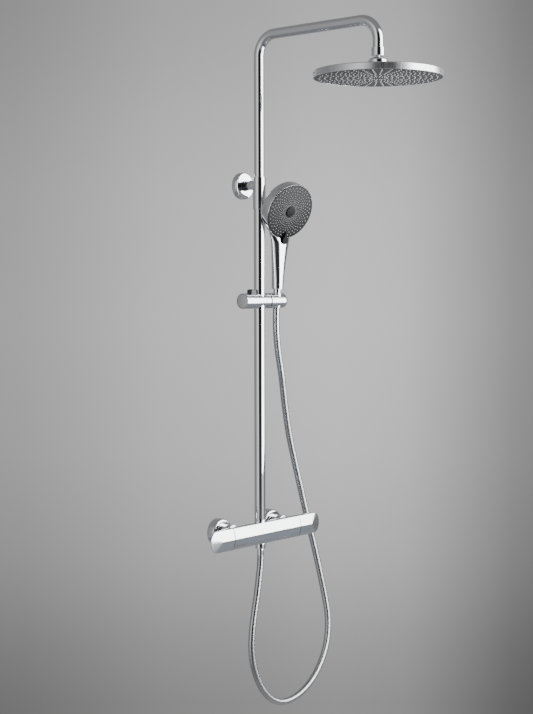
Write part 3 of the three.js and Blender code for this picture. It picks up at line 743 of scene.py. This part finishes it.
def selector(levels):
    """Teardrop key, with levels of (height over its back, scale about its middle)."""
    half = [(0, 25), (2.0, 22), (3.9, 18), (5.6, 14.5), (6.8, 11), (7.4, 7.5), (7.1, 4.4),
            (5.8, 2), (3.4, 0.5), (0, 0)]
    outline = half + [(-x, z) for x, z in half[-2:0:-1]]
    middle = 9
    loops = []
    for height, scale in levels:
        loops.append([(x * scale, -height, middle + (z - middle) * scale) for x, z in outline])
    return loft(loops).moved(SELECTOR)


skin("selector_button", selector([(0, 1), (2.2, 1), (2.9, 0.92), (3.4, 0.75), (3.6, 0.5)]), 50)

# ---------------------------------------------------------------- overhead shower
drop = (0, DROP_Y, 0)
skin("arm_end_nut", turned([
    (5.4, 902.4), (12.2, 902.4), (12.2, 917.5), (10.3, 917.5), (10.3, 906), (5.4, 906)], "z",
    drop, 72, 0.7, ring=True))


def ball_arc(r, start, end, steps):
    """Points (radius, height) round the middle of the ball, from one angle to another."""
    angles = [math.radians(start + (end - start) * i / steps) for i in range(steps + 1)]
    return [(r * math.cos(a), BALL_Z + r * math.sin(a)) for a in angles]


skin("ball_stem", turned(ball_arc(8.2, -70, 60, 20) + [
    (4, 900), (4, 913), (2.4, 913), (2.4, 884.5)], "z", drop, 48, 0.2, ring=True))
skin("head_boss", turned(ball_arc(9.7, 0, 46, 8) + [
    (6.6, 899.7), (9, 899.7), (12.5, 898.6), (16.4, 896.6), (17.5, 894.6), (17.5, 875.4),
    (9.7, 875.4)], "z", drop, 96, 0.8, ring=True))
skin("overhead_shell", turned([
    (6, 875), (117.6, 875), (118.8, 873.8), (118.8, 862.3), (116.8, 862.3), (116.8, 871.6),
    (115, 872.9), (6, 872.9)], "z", drop, 192, 0.6, ring=True), look="brushed_rim")
skin("overhead_face", turned([(0, 862.7), (116.4, 862.7), (116.4, 864.9), (0, 864.9)], "z", drop,
                             160, 0.4), look="rain_plate")
# rings of jets with twice as many jets in the outer rings
JET_RINGS, FIRST_RING_R, RING_GAP, OUTER_RINGS_R = 10, 16, 10.2, 45
jets = Build()
for i in range(JET_RINGS):
    r = FIRST_RING_R + RING_GAP * i
    count = 20 if r < OUTER_RINGS_R else 40
    for k in range(count):
        a = 2 * math.pi * (k + 0.5) / count
        jets.join(turned([(0, 861.2), (1.1, 861.3), (1.8, 862.8), (0, 863)], "z",
                         (r * math.cos(a), DROP_Y + r * math.sin(a), 0), 8, 0))
extra("overhead_nozzles", jets, "overhead", "silicone", 40, look="rain_nozzle")

# ---------------------------------------------------------------- hose outlet
outlet = (0, HOSE[0][1], 0)
hose_nut = skin("hose_nut", turned([
    (8.5, -25.4), (10.3, -25.4), (10.3, -38), (5.4, -38), (5.4, -36), (8.5, -36)], "z", outlet,
    72, 0.8, ring=True))
ferrule = skin("hose_ferrule", turned([
    (3.5, -35.6), (5, -35.6), (5, -38.3), (7, -38.3), (7, -52), (3.5, -52)], "z", outlet, 56,
    0.4, ring=True))

# ---------------------------------------------------------------- room
# a plain round floor, out of the picture below the hose's loop
FLOOR_Z, FLOOR_R, FLOOR_THICK = -1000, 1500, 4
floor = make("floor", rod(FLOOR_R, FLOOR_Z, FLOOR_Z - FLOOR_THICK, "z", (0, -150, 0), 96, 0.5))
floor.data.materials.append(material("floor", (0.42, 0.42, 0.42), 0.6, 0.05, 30, bump=0.05))


def softbox(name, place, target, size, brightness):
    """A flat soft light, out of the picture itself."""
    data = bpy.data.lights.new(name, "AREA")
    data.shape = "RECTANGLE"
    data.size, data.size_y = size
    data.energy = brightness * math.pi * size[0] * size[1]
    obj = bpy.data.objects.new(name, data)
    bpy.context.scene.collection.objects.link(obj)
    obj.location = place
    obj.rotation_euler = (Vector(target) - Vector(place)).to_track_quat("-Z", "Y").to_euler()
    obj.visible_camera = False


# the view transform bends brightness: a mid grey of 127 on screen needs a light of MID_LIGHT,
# and each screen value here is that many steps of LIGHT_STEP times brighter or darker
MID_LIGHT, LIGHT_STEP = 0.2118, 1.5625
SCREEN = (21, 41, 62, 80, 102, 127, 150, 171, 189, 204, 217, 228, 237, 244, 251, 255)
STEPS = (-6.5, -4.5, -3, -2, -1, 0, 1, 2, 3, 4, 5, 6, 7, 8, 9, 10)


def light(value):
    """Scene light that shows as a screen brightness from 0 to 255."""
    return MID_LIGHT * LIGHT_STEP ** np.interp(value, SCREEN, STEPS)


STRENGTH, MIRROR = 12, 0.87


def mirrored(value, blue=0):
    """Stop colour for light that chrome throws back, with a share of blue in it."""
    return tuple(light(value + blue * share) / MIRROR / STRENGTH for share in (0, 0.4, 1))


world = bpy.data.worlds.new("studio")
bpy.context.scene.world = world
world.use_nodes = True
nt = world.node_tree
nt.nodes.clear()
output = nt.nodes.new("ShaderNodeOutputWorld")
where = nt.nodes.new("ShaderNodeTexCoord")


def dot(vector):
    """How far the looked-at direction points along a vector."""
    n = nt.nodes.new("ShaderNodeVectorMath")
    n.operation = "DOT_PRODUCT"
    n.inputs[1].default_value = vector
    nt.links.new(where.outputs["Generated"], n.inputs[0])
    return n.outputs["Value"]


def math_node(kind, a, b, c=None):
    """Math node whose inputs are numbers or other nodes' outputs."""
    n = nt.nodes.new("ShaderNodeMath")
    n.operation = kind
    for socket, value in zip(n.inputs, (a, b, c)):
        if isinstance(value, (int, float)):
            socket.default_value = value
        elif value is not None:
            nt.links.new(value, socket)
    return n.outputs[0]


def ramp_node(angle, span, stops):
    """Colour along an angle between -span and span degrees, with stops of (degrees, colour)."""
    n = nt.nodes.new("ShaderNodeValToRGB")
    while len(n.color_ramp.elements) > 1:
        n.color_ramp.elements.remove(n.color_ramp.elements[-1])
    for i, (degrees, colour) in enumerate(stops):
        place = (degrees + span) / (2 * span)
        e = n.color_ramp.elements[0] if i == 0 else n.color_ramp.elements.new(place)
        e.position = place
        e.color = (*(colour if isinstance(colour, tuple) else (colour, colour, colour)), 1)
    scaled = math_node("MULTIPLY_ADD", angle, 1 / math.radians(2 * span), 0.5)
    nt.links.new(scaled, n.inputs[0])
    return n.outputs["Color"]


def mix_node(factor, a, b, blend="MIX"):
    """Colour mix of two outputs by the factor."""
    n = nt.nodes.new("ShaderNodeMix")
    n.data_type = "RGBA"
    n.blend_type = blend
    for socket, value in ((0, factor), (MIX_A, a), (MIX_B, b)):
        nt.links.new(value, n.inputs[socket])
    return n.outputs[MIX_RESULT]


def background(colour, strength=1):
    """Light of a colour from far away."""
    n = nt.nodes.new("ShaderNodeBackground")
    n.inputs["Strength"].default_value = strength
    nt.links.new(colour, n.inputs["Color"])
    return n.outputs["Background"]


turn = math_node("ARCTAN2", dot(SIDE), dot(-LEVEL_FORWARD))
across = math_node("ARCTAN2", dot(SIDE), dot(LEVEL_FORWARD))
rise = math_node("ARCSINE", dot((0, 0, 1)), 0)

# the studio that the chrome mirrors, round the horizon: brightness at each angle from the
# direction straight back past the camera, positive to the picture's right
AROUND = [(-180, 140), (-147, 140), (-103, 124), (-75, 148), (-54, 180), (-34, 196), (-24, 180),
          (-15, 70), (-7, 21), (24, 21), (33, 45), (41, 120), (48, 200), (95, 150),
          (105, 105), (130, 108), (147, 150), (180, 145)]
# the same from underfoot to overhead, where the room is more even: brightness and blue
ABOVE_BELOW = [(-90, 125, 0), (-50, 122, 2), (-38, 118, 6), (-28, 143, 12), (0, 138, 3),
               (45, 126, 0), (90, 118, 0)]
# how much of the horizon's band is seen at each height
BAND = [(-32, 0.0), (-18, 0.9), (0, 1.0), (26, 1.0), (46, 0.0)]
around = ramp_node(turn, 180, [(a, mirrored(v)) for a, v in AROUND])
above_below = ramp_node(rise, 90, [(a, mirrored(v, blue)) for a, v, blue in ABOVE_BELOW])
studio = background(mix_node(ramp_node(rise, 90, BAND), above_below, around), STRENGTH)

# the plain backdrop: brightest beside the riser, falling off to the sides
ACROSS = [(-180, 150), (-30, 150), (-10.5, 162), (-7.3, 172), (-4, 181), (0, 185), (2.2, 189),
          (5.4, 186), (7.1, 176), (8.7, 163), (10.4, 145), (14, 128), (40, 140), (180, 150)]
# and to the top and bottom, but only ahead of the picture's direction
UPWARD = [(-90, 0.9), (-27, 0.85), (-18, 0.40), (-16.8, 0.40), (-14.4, 0.5), (-11, 0.72),
          (-7, 0.9), (-1.7, 1.0), (3.3, 0.95), (6.5, 0.84), (8.6, 0.75), (11, 0.68), (25, 0.6),
          (90, 0.6)]
AHEAD = [(-24, 0.0), (-13, 1.0), (13, 1.0), (24, 0.0)]
sideways = ramp_node(across, 180, [(a, light(v)) for a, v in ACROSS])
plain = background(mix_node(ramp_node(across, 180, AHEAD), sideways, ramp_node(rise, 90, UPWARD),
                            "MULTIPLY"))
seen = nt.nodes.new("ShaderNodeLightPath")
choose = nt.nodes.new("ShaderNodeMixShader")
nt.links.new(seen.outputs["Is Camera Ray"], choose.inputs[0])
nt.links.new(studio, choose.inputs[1])
nt.links.new(plain, choose.inputs[2])
nt.links.new(choose.outputs[0], output.inputs["Surface"])
softbox("front", (0.77, -1.08, 0.77), (0.77, 0, 0.77), (1.52, 1.86), 6.5)
